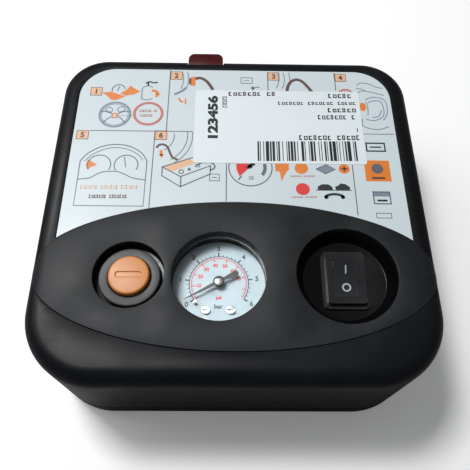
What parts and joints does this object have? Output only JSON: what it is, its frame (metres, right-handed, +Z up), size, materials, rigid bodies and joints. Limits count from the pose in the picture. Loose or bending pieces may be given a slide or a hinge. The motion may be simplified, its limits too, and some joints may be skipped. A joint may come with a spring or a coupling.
{
  "type": "portable tire inflator",
  "caption": "Flat rounded-box 12 V tire inflator with an oval control panel: deflate button, pressure gauge and rocker switch on top.",
  "frame": {"origin": "centre of the footprint, on the surface the rubber feet stand on", "axes": "+Z up; the front, nearest the control panel, faces -Y; +X to the user's right"},
  "size_m": [0.159, 0.16, 0.0584],
  "materials": {
    "case_black": "textured ABS",
    "panel_black": "satin ABS",
    "switch_black": "semi-gloss nylon",
    "label_film": "printed film",
    "sticker_paper": "coated paper",
    "button_orange": "moulded ABS",
    "collar_grey": "satin ABS",
    "catch_red": "glossy moulded",
    "dial_white": "printed enamel",
    "needle_black": "matt black",
    "lens_clear": "clear acrylic",
    "steel": "zinc plated",
    "aluminium": "die cast",
    "brass": "turned",
    "rubber": "matt",
    "nylon": "natural",
    "ferrite": "ground",
    "lead_red": "PVC"
  },
  "bodies": {
    "case": {"upper_housing": "case_black", "lower_housing": "case_black", "case_screws": "steel", "rubber_feet": "rubber", "control_panel": "panel_black", "instruction_label": "label_film", "stock_sticker": "sticker_paper", "button_collar": "collar_grey", "bleed_valve_body": "brass", "button_spring": "steel", "gauge_case": "panel_black", "gauge_lens": "lens_clear", "gauge_dial": "dial_white", "dial_screws": "steel", "needle_stop_pin": "steel", "gauge_movement": "brass", "bourdon_tube": "brass", "switch_frame": "switch_black", "switch_terminals": "brass", "motor_can": "steel", "motor_end_cap": "nylon", "motor_terminals": "brass", "motor_bearings": "brass", "motor_magnets": "ferrite", "crank_axle": "steel", "gear_frame": "aluminium", "motor_screws": "steel", "cylinder": "aluminium", "cylinder_head": "aluminium", "head_screws": "steel", "check_valve": "rubber", "air_manifold": "brass", "gauge_hose": "rubber", "supply_hose": "rubber", "bleed_hose": "rubber", "outlet_port": "brass", "cord_gland": "rubber", "motor_lead_red": "lead_red", "catch_pin": "steel"},
    "button": {"deflate_button": "button_orange", "valve_stem": "brass", "stem_seal": "rubber"},
    "rocker": {"switch_rocker": "switch_black"},
    "needle": {"gauge_needle": "needle_black", "gauge_arbor": "brass"},
    "sector": {"gauge_sector": "brass"},
    "rotor": {"motor_shaft": "steel", "motor_armature": "steel", "motor_commutator": "brass", "motor_pinion": "steel"},
    "crank": {"crank_gear": "steel"},
    "piston_group": {"piston": "aluminium", "piston_seal": "nylon", "wrist_pin": "steel"},
    "rod": {"connecting_rod": "aluminium", "crank_pin": "steel"},
    "catch": {"rear_catch": "catch_red"}
  },
  "joints": [
    {"name": "deflate_press", "type": "slide", "parent": "case", "child": "button", "axis": [0, 0, -1], "range_m": [0, 0.003], "stiffness_N_per_m": 500, "springref_m": -0.002, "deforming": ["button_spring"]},
    {"name": "switch_rock", "type": "hinge", "parent": "case", "child": "rocker", "pos_m": [0.0432, -0.0377, 0.0538], "axis": [-1, 0, 0], "range_deg": [0, 20]},
    {"name": "sector_swing", "type": "hinge", "parent": "case", "child": "sector", "pos_m": [-0.0065, -0.0489, 0.043], "axis": [0, 0, 1], "range_deg": [0, 48.4]},
    {"name": "needle_sweep", "type": "hinge", "parent": "case", "child": "needle", "pos_m": [-0.0065, -0.0381, 0.0506], "axis": [0, 0, -1], "range_deg": [0, 242]},
    {"name": "motor_spin", "type": "hinge", "parent": "case", "child": "rotor", "pos_m": [0, 0.03575, 0.026], "axis": [1, 0, 0], "continuous": true},
    {"name": "crank_spin", "type": "hinge", "parent": "case", "child": "crank", "pos_m": [0, 0.011, 0.026], "axis": [1, 0, 0], "continuous": true},
    {"name": "piston_slide", "type": "slide", "parent": "case", "child": "piston_group", "axis": [0, -1, 0], "range_m": [0, 0.013]},
    {"name": "rod_swing", "type": "hinge", "parent": "piston_group", "child": "rod", "pos_m": [0.022, 0.0475, 0.026], "axis": [1, 0, 0], "range_deg": [-12.5, 12.5]},
    {"name": "catch_swing", "type": "hinge", "parent": "case", "child": "catch", "pos_m": [-0.0142, 0.072, 0.036], "axis": [-1, 0, 0], "range_deg": [0, 35]}
  ],
  "couplings": [
    {"joint": "needle_sweep", "follows": "sector_swing", "ratio": 5},
    {"joint": "crank_spin", "follows": "motor_spin", "ratio": -0.22222}
  ]
}
